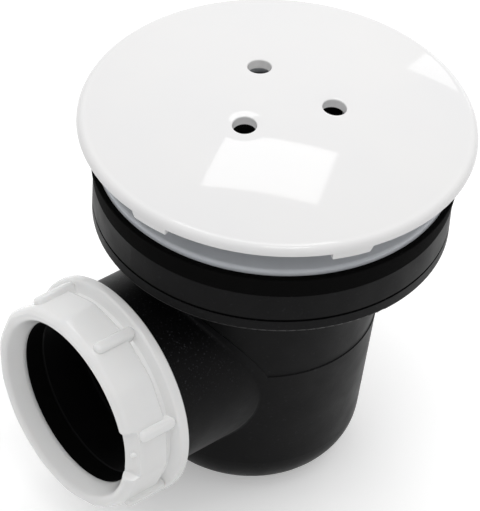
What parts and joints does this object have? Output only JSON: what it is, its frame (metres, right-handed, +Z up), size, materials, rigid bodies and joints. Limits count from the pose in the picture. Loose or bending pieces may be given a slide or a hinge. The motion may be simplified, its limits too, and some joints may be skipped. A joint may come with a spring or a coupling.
{
  "type": "shower trap",
  "caption": "Shower trap with a white domed cover, a clamp ring and gasket for the tray, a black body with a lift-out water seal, and a side outlet with a compression nut.",
  "frame": {"origin": "where the axis of the tray hole meets the flat base that the trap stands on", "axes": "+Z up along the axis of the tray hole, +X along the outlet, outwards"},
  "size_m": [0.1331, 0.115, 0.1258],
  "materials": {
    "white_abs": "gloss",
    "white_pp": "satin",
    "black_pp": "satin",
    "black_rubber": "matt"
  },
  "bodies": {
    "root": {"trap_body": "black_pp", "tray_gasket": "black_rubber", "outlet_seal": "black_rubber"},
    "insert": {"dip_tube": "black_pp", "dip_tube_o_ring": "black_rubber", "trap_cup": "black_pp", "cover": "white_abs"},
    "clamp_ring": {"top_flange": "white_abs"},
    "washer": {"slip_washer": "white_pp"},
    "nut": {"outlet_nut": "white_pp"}
  },
  "joints": [
    {"name": "clamp_ring_rise", "type": "slide", "parent": "root", "child": "insert", "axis": [0, 0, 1], "range_m": [0, 0.009]},
    {"name": "clamp_ring_turn", "type": "hinge", "parent": "insert", "child": "clamp_ring", "pos_m": [0, 0, 0.104], "axis": [0, 0, 1], "range_deg": [0, 1080]},
    {"name": "nut_travel", "type": "slide", "parent": "root", "child": "washer", "axis": [1, 0, 0], "range_m": [0, 0.006]},
    {"name": "nut_turn", "type": "hinge", "parent": "washer", "child": "nut", "pos_m": [0.0655, 0, 0.0455], "axis": [1, 0, 0], "range_deg": [0, 720]}
  ],
  "couplings": [
    {"joint": "clamp_ring_rise", "follows": "clamp_ring_turn", "m_per_rad": 0.00047746},
    {"joint": "nut_travel", "follows": "nut_turn", "m_per_rad": 0.00047746}
  ]
}
